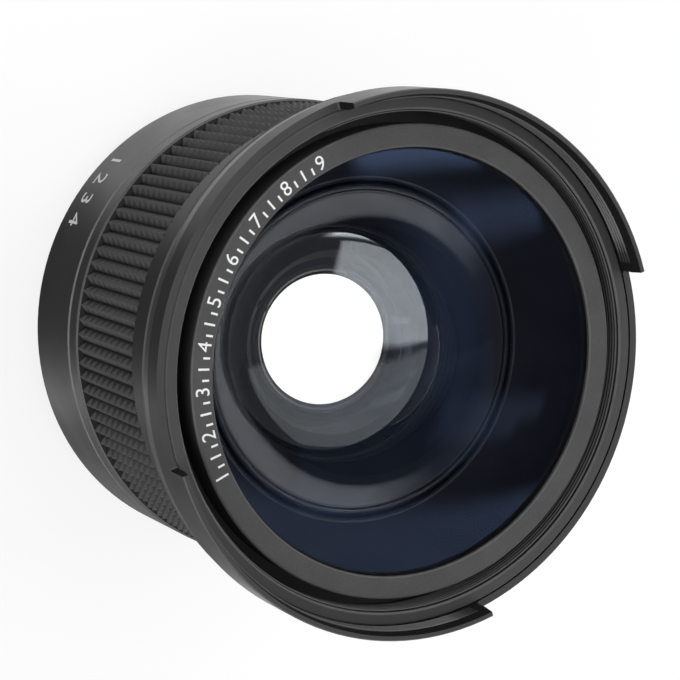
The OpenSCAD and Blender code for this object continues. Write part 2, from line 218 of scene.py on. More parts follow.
class Effect:
    """A shared surface effect, kept as one shader node group.

    Its first input is a vector. The others are numbers, given here with their defaults.
    """

    name: str
    inputs: dict[str, float] = {}
    outputs: tuple[str, ...] = ("Mask",)

    def group(self) -> NodeTree:
        """Builds the group once.

        Returns:
            The node group.
        """
        found = bpy.data.node_groups.get(self.name)
        if found:
            return found
        tree = bpy.data.node_groups.new(self.name, "ShaderNodeTree")
        face = tree.interface
        face.new_socket("Vector", in_out="INPUT", socket_type="NodeSocketVector")
        for label, value in self.inputs.items():
            socket = face.new_socket(label, in_out="INPUT", socket_type="NodeSocketFloat")
            socket.default_value = value
        for label in self.outputs:
            face.new_socket(label, in_out="OUTPUT", socket_type="NodeSocketFloat")
        graph = Graph(tree)
        start = tree.nodes.new("NodeGroupInput")
        end = tree.nodes.new("NodeGroupOutput")
        for label, socket in self.wire(graph, start.outputs).items():
            graph.feed(end.inputs[label], socket)
        return tree

    def wire(self, graph: Graph, given: Sockets) -> Wires:
        """Makes the group's inner nodes.

        Args:
            graph: the group's node tree.
            given: sockets with the group's inputs.

        Returns:
            The socket for each of the group's outputs.
        """
        raise NotImplementedError

    def place(self, graph: Graph, vector: Socket, **values: float) -> Sockets:
        """Places the group in a material."""
        feeds = {"Vector": vector, **values}
        return graph.node("Group", feeds, node_tree=self.group()).outputs


class Grain(Effect):
    """Fine random grain of a blasted or moulded surface."""

    name = "fx_grain"
    inputs = {"Scale": 4000.0}
    outputs = ("Height", "Tone")
    coarse_scale = 0.03
    coarse_share = 0.4

    def wire(self, graph: Graph, given: Sockets) -> Wires:
        """Makes a fine and a coarse noise. See Effect.wire."""
        vector, scale = given["Vector"], given["Scale"]
        fine = graph.noise(vector, scale, detail=3.0)
        slow = graph.math("MULTIPLY", scale, self.coarse_scale)
        coarse = graph.noise(vector, slow, detail=4.0)
        rest = graph.math("MULTIPLY", coarse, self.coarse_share)
        tone = graph.math("MULTIPLY_ADD", fine, 1 - self.coarse_share, rest)
        return {"Height": fine, "Tone": tone}


class Turning(Effect):
    """Circular tool marks of turned metal, on faces and on cylinders."""

    name = "fx_turning"
    inputs = {"Lines": 6000.0}
    outputs = ("Height", "Streak")
    height_share = 1.31
    streak = (0.35, 0.65)

    def wire(self, graph: Graph, given: Sockets) -> Wires:
        """Makes noise along the radius and the height. See Effect.wire."""
        vector = given["Vector"]
        height = graph.split(vector)[2]
        along = graph.math("MULTIPLY_ADD", height, self.height_share, graph.radius(vector))
        line = graph.math("MULTIPLY", along, given["Lines"])
        feeds = {"W": line, "Scale": 1.0, "Detail": 2.0}
        noise = graph.node("TexNoise", feeds, noise_dimensions="1D").outputs["Fac"]
        return {"Height": noise, "Streak": graph.remap(noise, *self.streak)}


class Handling(Effect):
    """Sparse dust specks and faint smudges of a used object."""

    name = "fx_handling"
    inputs = {"Specks": 900.0}
    outputs = ("Dust", "Smudge")
    speck = (0.05, 0.16)
    clean_share = 0.9
    smudge_scale = 90.0
    smudge = (0.4, 0.7)

    def wire(self, graph: Graph, given: Sockets) -> Wires:
        """Makes specks in some cells and a slow noise. See Effect.wire."""
        vector = given["Vector"]
        cells = graph.node("TexVoronoi", {"Vector": vector, "Scale": given["Specks"]}).outputs
        spot = graph.remap(cells["Distance"], *self.speck, 1.0, 0.0)
        lot = graph.node("SeparateColor", {0: cells["Color"]}).outputs[0]
        chosen = graph.math("GREATER_THAN", lot, self.clean_share)
        dust = graph.math("MULTIPLY", spot, chosen)
        slow = graph.noise(vector, self.smudge_scale, detail=5.0)
        return {"Dust": dust, "Smudge": graph.remap(slow, *self.smudge)}


class ThreadLines(Effect):
    """Helical thread lines on the wall of one radius between two heights."""

    name = "fx_thread"
    inputs = {"Radius": 35.0 * MM, "Bottom": 0.0, "Top": 1.0}
    outputs = ("Height",)
    wall = 0.06 * MM

    def wire(self, graph: Graph, given: Sockets) -> Wires:
        """Makes a triangle wave along a helix. See Effect.wire."""
        x, y, z = graph.split(given["Vector"])
        turn = graph.math("DIVIDE", graph.math("ARCTAN2", y, x), math.tau)
        phase = graph.math("SUBTRACT", graph.math("DIVIDE", z, PITCH), turn)
        wave = graph.math("MULTIPLY", graph.math("PINGPONG", phase, 0.5), 2.0)
        off = graph.math("SUBTRACT", graph.radius(given["Vector"]), given["Radius"])
        near = graph.math("LESS_THAN", graph.math("ABSOLUTE", off), self.wall)
        above = graph.math("GREATER_THAN", z, given["Bottom"])
        below = graph.math("LESS_THAN", z, given["Top"])
        inside = graph.math("MULTIPLY", near, graph.math("MULTIPLY", above, below))
        return {"Height": graph.math("MULTIPLY", wave, inside)}


class Band(Effect):
    """Mask of a narrow range of a vector's height, with soft edges.

    On coordinates it is a belt around the axis. On normals it is the faces of one slope.
    """

    name = "fx_band"
    inputs = {"Middle": 0.0, "Half": 0.3 * MM}

    def wire(self, graph: Graph, given: Sockets) -> Wires:
        """Makes a bump along the height. See Effect.wire."""
        off = graph.math("SUBTRACT", graph.split(given["Vector"])[2], given["Middle"])
        away = graph.math("ABSOLUTE", off)
        return {"Mask": graph.remap(away, 0.0, given["Half"], 1.0, 0.0)}


class Hollow(Effect):
    """Mask of what lies below one radius, such as the grooves of a grip."""

    name = "fx_hollow"
    inputs = {"Floor": 39.0 * MM, "Depth": 0.4 * MM}

    def wire(self, graph: Graph, given: Sockets) -> Wires:
        """Makes a ramp along the radius. See Effect.wire."""
        over = graph.math("SUBTRACT", graph.radius(given["Vector"]), given["Floor"])
        return {"Mask": graph.remap(over, 0.0, given["Depth"], 1.0, 0.0)}


GRAIN = Grain()
TURNING = Turning()
HANDLING = Handling()
THREAD_LINES = ThreadLines()
BAND_MASK = Band()
HOLLOW = Hollow()


@dataclass(frozen=True)
class Finish:
    """A finish that can be put on pieces, made as one material."""

    name: str
    colour: Colour
    roughness: float
    specular: float

    def material(self) -> Material:
        """Builds the material once.

        Returns:
            The material.
        """
        found = bpy.data.materials.get(self.name)
        if found:
            return found
        made = bpy.data.materials.new(self.name)
        made.use_nodes = True
        made.node_tree.nodes.clear()
        graph = Graph(made.node_tree)
        shader = graph.node("BsdfPrincipled")
        shader.inputs["Base Color"].default_value = rgba(self.colour)
        shader.inputs["Roughness"].default_value = self.roughness
        shader.inputs["Specular IOR Level"].default_value = self.specular
        graph.node("OutputMaterial", {"Surface": shader.outputs[0]})
        base = self.dress(graph, shader, graph.node("TexCoord").outputs["Object"])
        graph.feed(shader.inputs["Base Color"], base)
        return made

    def tones(self, graph: Graph, mask: Socket, low: float, high: float) -> Socket:
        """Mixes two shares of the finish's colour by a mask."""
        return graph.mix(mask, scaled(self.colour, low), scaled(self.colour, high))

    def dress(self, graph: Graph, shader: Node, vector: Socket) -> Socket | Sequence[float]:
        """Adds the finish's own detail to the shader.

        Args:
            graph: the material's node tree.
            shader: the Principled shader.
            vector: object coordinates.

        Returns:
            The base colour.
        """
        raise NotImplementedError

    def bump(
        self, graph: Graph, shader: Node, layers: Sequence[tuple[Socket, float]]
    ) -> None:
        """Chains bump layers into the shader's normal.

        Args:
            graph: the material's node tree.
            shader: the Principled shader.
            layers: height sockets, each with its depth in metres.
        """
        normal = {}
        for height, depth in layers:
            made = graph.node("Bump", {"Distance": depth, "Height": height, **normal})
            normal = {"Normal": made.outputs["Normal"]}
        graph.feed(shader.inputs["Normal"], normal["Normal"])


@dataclass(frozen=True)
class Anodised(Finish):
    """Dyed anodised aluminium with grain, tool marks, a little dust, painted light on faces
    square to the axis, painted highlights on edge breaks and any painted shade in the cuts of an
    inner thread.

    Attributes:
        streak: share of the tool marks in the tone.
        facing: how many times lighter faces square to the axis are than turned walls; this is
            painted light on faces that look up.
        square: heights of the normal between which a face counts as square.
        matt: how much rougher those faces are.
        edge_highlight: mean colour of the edge breaks, a painted highlight where they catch the
            light.
        slope: normal's height on the edge breaks, and how far it may be off.
        belt: height of a rear lip that gets a painted highlight line, if there is one.
        thread: radius, bottom and top of a thread, if there is one.
        thread_depth: depth of that thread as a share of its pitch.
        valley: radius beyond which the cuts of an inner thread are black with painted shade, if
            any.
    """

    contrast: float = 0.18
    streak: float = 0.25
    grain_scale: float = 9000.0
    grain_depth: float = 0.004 * MM
    turning_depth: float = 0.002 * MM
    dust: float = 0.02
    dust_colour: Colour = (0.6, 0.6, 0.58)
    facing: float = 1.0
    square: Pair = (0.6, 0.9)
    matt: float = 0.2
    smudge: Pair = (-0.03, 0.04)
    edge_highlight: Colour = (0.1, 0.1, 0.1)
    slope: Pair = (math.sqrt(0.5), 0.12)
    belt: float | None = None
    thread: Triple | None = None
    thread_depth: float = 0.3
    valley: float | None = None
    valley_edge: float = 0.06 * MM
    valley_shade: Colour = (0.002, 0.002, 0.002)

    def dress(self, graph: Graph, shader: Node, vector: Socket) -> Socket:
        """Adds grain, tool marks, wear, dust, painted light on square faces, painted edge
        highlights, painted shade in thread cuts and any thread. See Finish.dress.
        """
        grain = GRAIN.place(graph, vector, Scale=self.grain_scale)
        marks = TURNING.place(graph, vector)
        wear = HANDLING.place(graph, vector)
        normal = graph.node("NewGeometry").outputs["True Normal"]
        low, high = 1 - self.contrast, 1 + self.contrast
        fine = graph.math("MULTIPLY", grain["Tone"], 1 - self.streak)
        tone = graph.math("MULTIPLY_ADD", marks["Streak"], self.streak, fine)
        wall = self.tones(graph, tone, low, high)
        # Painted light: faces square to the axis get a lighter colour, as they look up towards
        # the light.
        face = self.tones(graph, tone, low * self.facing, high * self.facing)
        square_on = graph.remap(graph.split(normal)[2], *self.square)
        base = graph.mix(square_on, wall, face)
        # Painted highlight: edge breaks at one slope, and any lip belt, take a lighter colour.
        middle, half = self.slope
        glinting_edges = BAND_MASK.place(graph, normal, Middle=middle, Half=half)["Mask"]
        if self.belt:
            lip = BAND_MASK.place(graph, vector, Middle=self.belt)["Mask"]
            glinting_edges = graph.math("MAXIMUM", glinting_edges, lip)
        # The tone halves this mask on average, so the painted highlight colour counts twice.
        base = graph.mix(graph.math("MULTIPLY", glinting_edges, tone), base, scaled(self.edge_highlight, 2.0))
        base = graph.mix(graph.math("MULTIPLY", wear["Dust"], self.dust), base, self.dust_colour)
        # Painted shade: the cuts of an inner thread beyond the valley radius go black.
        if self.valley:
            crest = HOLLOW.place(graph, vector, Floor=self.valley, Depth=self.valley_edge)
            base = graph.mix(crest["Mask"], self.valley_shade, base)
        down, up = self.smudge
        rough = graph.remap(wear["Smudge"], 0.0, 1.0, self.roughness + down, self.roughness + up)
        blasted = graph.math("MULTIPLY_ADD", square_on, self.matt, rough)
        graph.feed(shader.inputs["Roughness"], blasted)
        layers = [(grain["Height"], self.grain_depth), (marks["Height"], self.turning_depth)]
        if self.thread:
            values = dict(zip(THREAD_LINES.inputs, self.thread))
            lines = THREAD_LINES.place(graph, vector, **values)
            layers.append((lines["Height"], self.thread_depth * PITCH))
        self.bump(graph, shader, layers)
        return base


@dataclass(frozen=True)
class Rubber(Finish):
    """Moulded rubber with a fine grain and dust, and any painted light and shade.

    Attributes:
        shaded_groove: radius below which painted shade darkens the surface, if there is one.
        shaded_groove_share: share of the colour that the painted shade leaves there.
        painted_light_lean: share by which faces that look up are lighter and those that look
            down darker, as painted light and shade.
        level: normal's height at which that is reached.
    """

    contrast: float = 0.25
    grain_scale: float = 7000.0
    grain_depth: float = 0.01 * MM
    specks: float = 1400.0
    dust: float = 0.05
    dust_colour: Colour = (0.5, 0.5, 0.48)
    smudge: float = 0.05
    shaded_groove: float | None = None
    shaded_groove_share: float = 0.12
    painted_light_lean: float = 0.0
    level: float = 0.3

    def dress(self, graph: Graph, shader: Node, vector: Socket) -> Socket:
        """Adds grain, dust, painted light and shade on faces that look up or down, and painted
        shade in the grooves. See Finish.dress.
        """
        grain = GRAIN.place(graph, vector, Scale=self.grain_scale)
        wear = HANDLING.place(graph, vector, Specks=self.specks)
        base = self.tones(graph, grain["Tone"], 1 - self.contrast, 1 + self.contrast)
        # Painted light and shade: faces that look up are lighter, faces that look down darker.
        if self.painted_light_lean:
            normal = graph.node("NewGeometry").outputs["True Normal"]
            up, rest = graph.split(normal)[2], self.level
            light = graph.remap(up, -rest, rest, 1 - self.painted_light_lean, 1 + self.painted_light_lean)
            base = graph.mix(1.0, base, light, "MULTIPLY")
        # Painted shade: the surface below the groove radius goes dark.
        if self.shaded_groove:
            groove_shade = HOLLOW.place(graph, vector, Floor=self.shaded_groove)["Mask"]
            base = graph.mix(groove_shade, base, scaled(self.colour, self.shaded_groove_share))
        smooth, rough = self.roughness - self.smudge, self.roughness + self.smudge
        matt = graph.remap(wear["Smudge"], 0.0, 1.0, smooth, rough)
        graph.feed(shader.inputs["Roughness"], matt)
        self.bump(graph, shader, [(grain["Height"], self.grain_depth)])
        return graph.mix(graph.math("MULTIPLY", wear["Dust"], self.dust), base, self.dust_colour)


@dataclass(frozen=True)
class Glass(Finish):
    """Polished, coated glass, with the coating's tint and smudges that are less clear."""

    ior: float = 1.5
    tint: Colour = WHITE
    clear: float = 0.97

    def dress(self, graph: Graph, shader: Node, vector: Socket) -> Socket:
        """Makes the shader clear and adds faint smudges. See Finish.dress."""
        shader.inputs["Transmission Weight"].default_value = 1.0
        shader.inputs["IOR"].default_value = self.ior
        shader.inputs["Specular Tint"].default_value = rgba(self.tint)
        return self.tones(graph, HANDLING.place(graph, vector)["Smudge"], 1.0, self.clear)


@dataclass(frozen=True)
class EdgePaint(Finish):
    """Black paint on the edge of a glass element, with a painted reflection on its foot.

    Attributes:
        brushed: how many times lighter the paint is where the brush left it thin.
        foot: colour of a painted reflection on the foot, which only rays mirrored by the hollow
            see.
        dark_azimuth: azimuth of the side where the painted reflection is left out.
        edge: cosine of the half angle where it is fully left out.
        soft: fall of that cosine over which the painted reflection comes in.
        thin: share of the painted reflection that is left on that side.
    """

    brushed: float = 1.3
    foot: Colour = (0.26, 0.275, 0.3)
    foot_r: float = 31.0 * MM
    foot_edge: float = 2.0 * MM
    dark_azimuth: float = 12.0
    edge: float = 0.77
    soft: float = 0.45
    thin: float = 0.05

    def dress(self, graph: Graph, shader: Node, vector: Socket) -> Socket:
        """Adds brush marks and the painted reflection on the foot. See Finish.dress."""
        paint = self.tones(graph, HANDLING.place(graph, vector)["Smudge"], 1.0, self.brushed)
        # Painted reflection: rays mirrored in the hollow see a lighter foot, except on the dark
        # side.
        foot = HOLLOW.place(graph, vector, Floor=self.foot_r, Depth=self.foot_edge)["Mask"]
        side = on_circle(1.0, math.radians(self.dark_azimuth), 0.0)
        near = graph.facing(graph.flat(vector), side)
        reflection_share = graph.remap(near, self.edge, self.edge - self.soft)
        painted_reflection = graph.math("MULTIPLY", foot, graph.math("MAXIMUM", reflection_share, self.thin))
        mirrored = graph.node("LightPath").outputs["Is Reflection Ray"]
        return graph.mix(graph.math("MULTIPLY", painted_reflection, mirrored), paint, self.foot)


@dataclass(frozen=True)
class Brass(Finish):
    """Rolled brass sheet with grain and tarnish."""

    grain_scale: float = 3000.0
    grain_depth: float = 0.003 * MM
    tarnish: float = 0.6

    def dress(self, graph: Graph, shader: Node, vector: Socket) -> Socket:
        """Adds grain and tarnish. See Finish.dress."""
        shader.inputs["Metallic"].default_value = 1.0
        grain = GRAIN.place(graph, vector, Scale=self.grain_scale)
        self.bump(graph, shader, [(grain["Height"], self.grain_depth)])
        return self.tones(graph, HANDLING.place(graph, vector)["Smudge"], 1.0, self.tarnish)


@dataclass(frozen=True)
class Ink(Finish):
    """Flat, slightly faded paint in engraved marks."""

    grain_scale: float = 6000.0
    faded: float = 0.9

    def dress(self, graph: Graph, shader: Node, vector: Socket) -> Socket:
        """Adds a slight unevenness. See Finish.dress."""
        tone = GRAIN.place(graph, vector, Scale=self.grain_scale)["Tone"]
        return self.tones(graph, tone, self.faded, 1.0)


# Painted light: the facing values lighten faces square to the axis, and the edge-break colours
# and the hood's belt are painted highlights.
BARREL = Anodised("barrel_anodised", (0.014, 0.014, 0.0145), 0.40, 0.15, facing=4.5)
HOOD = Anodised(
    "hood_anodised", (0.012, 0.012, 0.0125), 0.36, 0.15, facing=4.5, belt=58.5 * MM,
)
# Painted highlight: thread ridges are much lighter than the barrel, as their crests catch the
# light.
CREST = Anodised("thread_painted_highlight", (0.05, 0.05, 0.05), 0.3, 0.5, facing=1.5)
CAP_CREST = Anodised("cap_thread_painted_highlight", (0.11, 0.11, 0.11), 0.45, 0.2, valley=40.56 * MM)
REAR = Anodised(
    "rear_anodised", (0.012, 0.012, 0.0125), 0.38, 0.25, facing=3.0, edge_highlight=(0.2, 0.2, 0.2),
    thread=(34.95 * MM, 19.6 * MM, 23.7 * MM),
)
BAND = Anodised(
    "band_anodised", (0.014, 0.014, 0.0145), 0.38, 0.25, facing=3.0,
    thread=(35.0 * MM, 19.6 * MM, 28.0 * MM),
)
RING = Anodised(
    "ring_anodised_fine", (0.062, 0.062, 0.064), 0.5, 0.4, contrast=0.6, streak=0.05,
    grain_scale=5200.0, grain_depth=0.01 * MM, turning_depth=0.0, edge_highlight=(0.08, 0.08, 0.08),
)
BLACKENED = Anodised("blackened", (0.010, 0.010, 0.011), 0.6, 0.25, edge_highlight=(0.01, 0.01, 0.01))
# Painted light: the cell is lighter than the barrel, so the shaded groove by the name ring is
# less dark.
CELL = Anodised("cell_black_painted_fill", (0.045, 0.045, 0.045), 0.55, 0.3, edge_highlight=(0.045, 0.045, 0.045))
TUBE = Anodised("tube_black", (0.12, 0.122, 0.125), 0.45, 0.4)
# The grip's faces carry painted light and shade by their slope, and its grooves painted shade.
GRIP_RUBBER = Rubber(
    "grip_rubber_moulded", (0.044, 0.044, 0.045), 0.62, 0.3, shaded_groove=39.2 * MM, painted_light_lean=0.6,
)
GASKET = Rubber("gasket_rubber_smooth", (0.012, 0.012, 0.012), 0.6, 0.3)
# Both edge finishes carry the painted reflection on the foot.
EDGE_PAINT = EdgePaint("glass_edge_paint_and_reflection", (0.022, 0.023, 0.031), 0.7, 0.0)
FOOT_PAINT = EdgePaint("glass_foot_paint_and_reflection", (0.03, 0.034, 0.046), 0.7, 0.0)
GROUND_EDGE = Rubber("glass_ground_edge", (0.04, 0.043, 0.05), 0.5, 0.4, dust=0.0)
SHIM_BRASS = Brass("shim_brass_rolled", (0.65, 0.5, 0.22), 0.35, 0.5)
INK = Ink("mark_ink", (0.9, 0.9, 0.9), 0.6, 0.3)
DOME_GLASS = Glass("dome_glass", WHITE, 0.0, 0.5)
HOLLOW_GLASS = Glass("hollow_glass", WHITE, 0.0, 0.5, tint=(0.035, 0.058, 0.125))
SECOND_GLASS = Glass("second_glass", WHITE, 0.0, 0.5, ior=1.7, tint=(0.85, 0.92, 1.0))
REAR_GLASS = Glass("rear_glass", WHITE, 0.0, 0.5, tint=(0.5, 0.52, 0.6))

NODE_FINISH: dict[str, Finish] = {
    "front_barrel": BARREL,
    "petal_hood": HOOD,
    "coupling_ring": BAND,
    "lens_cell": CELL,
    "name_ring": RING,
    "front_gasket": GASKET,
    "seat_gasket": GASKET,
    "field_stop": BLACKENED,
    "second_retainer": BLACKENED,
    "baffle_cone": TUBE,
    "joint_shim": SHIM_BRASS,
    "rear_housing": REAR,
    "rear_seat_ring": BLACKENED,
    "rear_retainer": TUBE,
    "mount_ring": REAR,
    "rubber_grip": GRIP_RUBBER,
}


def new_object(name: str, data: ID | BMesh) -> Object:
    """Puts a new object into the scene.

    Args:
        name: name of the object.
        data: its curve, camera or geometry. A bmesh is freed.

    Returns:
        The object.
    """
    if isinstance(data, BMesh):
        mesh, data = data, bpy.data.meshes.new(name)
        mesh.to_mesh(data)
        mesh.free()
    made = bpy.data.objects.new(name, data)
    bpy.context.scene.collection.objects.link(made)
    return made


def add_piece(
    mesh: BMesh, name: str, finishes: Sequence[Finish], body: Body
) -> Object:
    """Turns a bmesh into a piece that rides on a body.

    Args:
        mesh: the geometry, which is freed.
        name: name of the piece.
        finishes: finishes in the order of the faces' material indices.
        body: body that the piece rides on.

    Returns:
        The new object.
    """
    bmesh.ops.recalc_face_normals(mesh, faces=mesh.faces)
    piece = new_object(name, mesh)
    for finish in finishes:
        piece.data.materials.append(finish.material())
    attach(piece, body.value)
    LOG.info("piece %s on %s, %d faces", name, body.value, len(piece.data.polygons))
    return piece


def on_circle(radius: float, turn: float, height: float) -> Vector:
    """Finds a point around the axis."""
    return Vector((radius * math.cos(turn), radius * math.sin(turn), height))


def cosine(angle: float) -> float:
    """Finds the cosine of an angle in degrees."""
    return math.cos(math.radians(angle))


def sag(radius: float, r: float) -> float:
    """Measures how far a sphere falls from its top."""
    return radius - math.sqrt(radius**2 - r**2)


def arc(radius: float, touch: float, start: float, end: float, steps: int) -> Profile:
    """Samples a spherical face, which rises away from the axis if its radius is negative."""
    spots = [start + (end - start) * k / steps for k in range(steps + 1)]
    return [(r, touch - math.copysign(sag(abs(radius), r), radius)) for r in spots]


@dataclass
class GlassGroup:
    """The glass elements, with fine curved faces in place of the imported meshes.

    A field that ends in _r is the radius of a sphere, one in _rim that of a hollow's rim.
    """

    segments: int = 192
    sharp: float = 20.0
    dome_r: float = 120 * MM
    dome_steps: int = 40
    hollow_r: float = 27 * MM
    hollow_rim: float = 25 * MM
    hollow_steps: int = 48
    seat_rim: float = 26.6 * MM
    cone_h: float = 9.19 * MM
    chamfer: float = 0.15 * MM
    second_front_r: float = 100 * MM
    second_front_rim: float = 24.2 * MM
    second_rear_r: float = 60 * MM
    second_rear_rim: float = 21.8 * MM
    second_steps: int = 32
    doublet_r: float = 36 * MM

    def build(self) -> None:
        """Builds every element."""
        self.front()
        self.second()
        self.doublet()

    def skin(
        self, name: str, profile: Profile, looks: Sequence[int], finishes: Sequence[Finish],
        body: Body,
    ) -> Object:
        """Turns an element's profile into a closed skin, shaded smooth up to its sharp edges.

        Args:
            name: name of the piece.
            profile: points as distance from the axis and height, from axis to axis.
            looks: material index of each step of the profile.
            finishes: finishes in the order of those indices.
            body: body that the piece rides on.

        Returns:
            The piece.
        """
        mesh = bmesh.new()
        count = self.segments
        rings: list[list[BMVert]] = []
        for r, z in profile:
            turns = [math.tau * s / count for s in range(count if r > 0.0 else 1)]
            rings.append([mesh.verts.new(on_circle(r, turn, z)) for turn in turns])
        for look, one, two in zip(looks, rings, rings[1:]):
            for s in range(count):
                t = (s + 1) % count
                pairs = ((one, s), (one, t), (two, t), (two, s))
                corners = [ring[k % len(ring)] for ring, k in pairs]
                face = mesh.faces.new(list(dict.fromkeys(corners)))
                face.material_index = look
                face.smooth = True
        mesh.normal_update()
        limit = math.radians(self.sharp)
        for edge in mesh.edges:
            edge.smooth = edge.calc_face_angle() <= limit
        return add_piece(mesh, name, finishes, body)

    def front(self) -> None:
        """Builds the front meniscus with painted edges and a ground rim."""
        low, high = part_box("front_element")
        top = low.z + sag(self.hollow_r, self.hollow_rim)
        dome = arc(self.dome_r, high.z, 0.0, high.x, self.dome_steps)
        hollow = arc(self.hollow_r, top, self.hollow_rim, 0.0, self.hollow_steps)
        rim = [
            (high.x, low.z + self.cone_h),
            (self.seat_rim + self.chamfer, low.z + self.chamfer),
            (self.seat_rim - self.chamfer, low.z),
            (self.hollow_rim + self.chamfer, low.z),
        ]
        looks = [0] * self.dome_steps + [1, 1, 2, 3, 2] + [4] * self.hollow_steps
        finishes = [DOME_GLASS, EDGE_PAINT, GROUND_EDGE, FOOT_PAINT, HOLLOW_GLASS]
        piece = self.skin("front_lens", dome + rim + hollow, looks, finishes, Body.FRONT)
        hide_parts("front_element")

    def second(self) -> None:
        """Builds the second element, hollow on both faces."""
        low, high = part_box("second_element")
        floor = high.z - sag(self.second_front_r, self.second_front_rim)
        roof = low.z + sag(self.second_rear_r, self.second_rear_rim)
        steps = self.second_steps
        top = arc(-self.second_front_r, floor, 0.0, self.second_front_rim, steps)
        rim = [(high.x, high.z), (high.x, low.z)]
        base = arc(self.second_rear_r, roof, self.second_rear_rim, 0.0, steps)
        looks = [0] * steps + [1, 1, 1] + [0] * steps
        finishes = [SECOND_GLASS, EDGE_PAINT]
        piece = self.skin("second_lens", top + rim + base, looks, finishes, Body.FRONT)
        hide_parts("second_element")

    def doublet(self) -> None:
        """Builds the cemented pair as one clear body."""
        low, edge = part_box("rear_flint")
        _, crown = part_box("rear_crown")
        top = arc(self.doublet_r, crown.z, 0.0, edge.x, self.dome_steps)
        profile = top + [(edge.x, low.z), (0.0, low.z)]
        looks = [0] * self.dome_steps + [1, 0]
        piece = self.skin("rear_lens", profile, looks, [REAR_GLASS, EDGE_PAINT], Body.REAR)
        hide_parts("rear_flint", "rear_crown")


@dataclass(frozen=True)
class ThreadRidge:
    """A helical ridge on a round wall.

    Attributes:
        height: height of the crest over the wall.
        span: start and end over the barrel's rim, or over the origin on the rear unit.
        start: angle at which it starts.
        sweep: angle that each run covers, or None for one run of the whole height.
        foot: half width of the foot as a share of the pitch.
        flat: half width of the crest as a share of the pitch.
        sunk: depth of the foot in the wall.
        ramp: angle over which the ridge rises at its ends.
    """

    name: str
    radius: float
    height: float
    span: Pair
    side: Side
    body: Body
    finish: Finish
    start: float = 0.0
    sweep: float | None = None
    foot: float = 0.46
    flat: float = 0.12
    sunk: float = 0.02 * MM
    ramp: float = 6.0
    turn_steps: int = 160

    def add(self, mesh: BMesh, z_start: float, sweep: float) -> None:
        """Adds one run of the ridge.

        Args:
            mesh: bmesh to add to.
            z_start: height of the run's start.
            sweep: angle that the run covers in radians.
        """
        steps = int(sweep / math.tau * self.turn_steps)
        ramp = math.radians(self.ramp)
        half, flat = self.foot * PITCH, self.flat * PITCH
        base = self.radius - self.side.value * self.sunk
        rows = []
        for k in range(steps + 1):
            turn = sweep * k / steps
            fade = min(1.0, turn / ramp, (sweep - turn) / ramp)
            crest = self.radius + self.side.value * self.height * fade
            z = z_start + PITCH * turn / math.tau
            angle = math.radians(self.start) + turn
            points = [(base, z - half), (crest, z - flat), (crest, z + flat), (base, z + half)]
            rows.append([mesh.verts.new(on_circle(r, angle, h)) for r, h in points])
        for one, two in zip(rows, rows[1:]):
            for a in range(4):
                b = (a + 1) % 4
                mesh.faces.new([one[a], one[b], two[b], two[a]])
        mesh.faces.new(rows[0])
        mesh.faces.new(rows[-1])

    def build(self) -> None:
        """Builds the ridge, as one helix or as short runs one above another."""
        mesh = bmesh.new()
        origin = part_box("front_barrel")[1].z if self.body is Body.FRONT else 0.0
        low, high = (origin + height for height in self.span)
        turns = (high - low) / PITCH
        if self.sweep is None:
            self.add(mesh, low, turns * math.tau)
        else:
            for k in range(int(turns) + 1):
                self.add(mesh, low + k * PITCH, math.radians(self.sweep))
        add_piece(mesh, self.name, [self.finish], self.body)


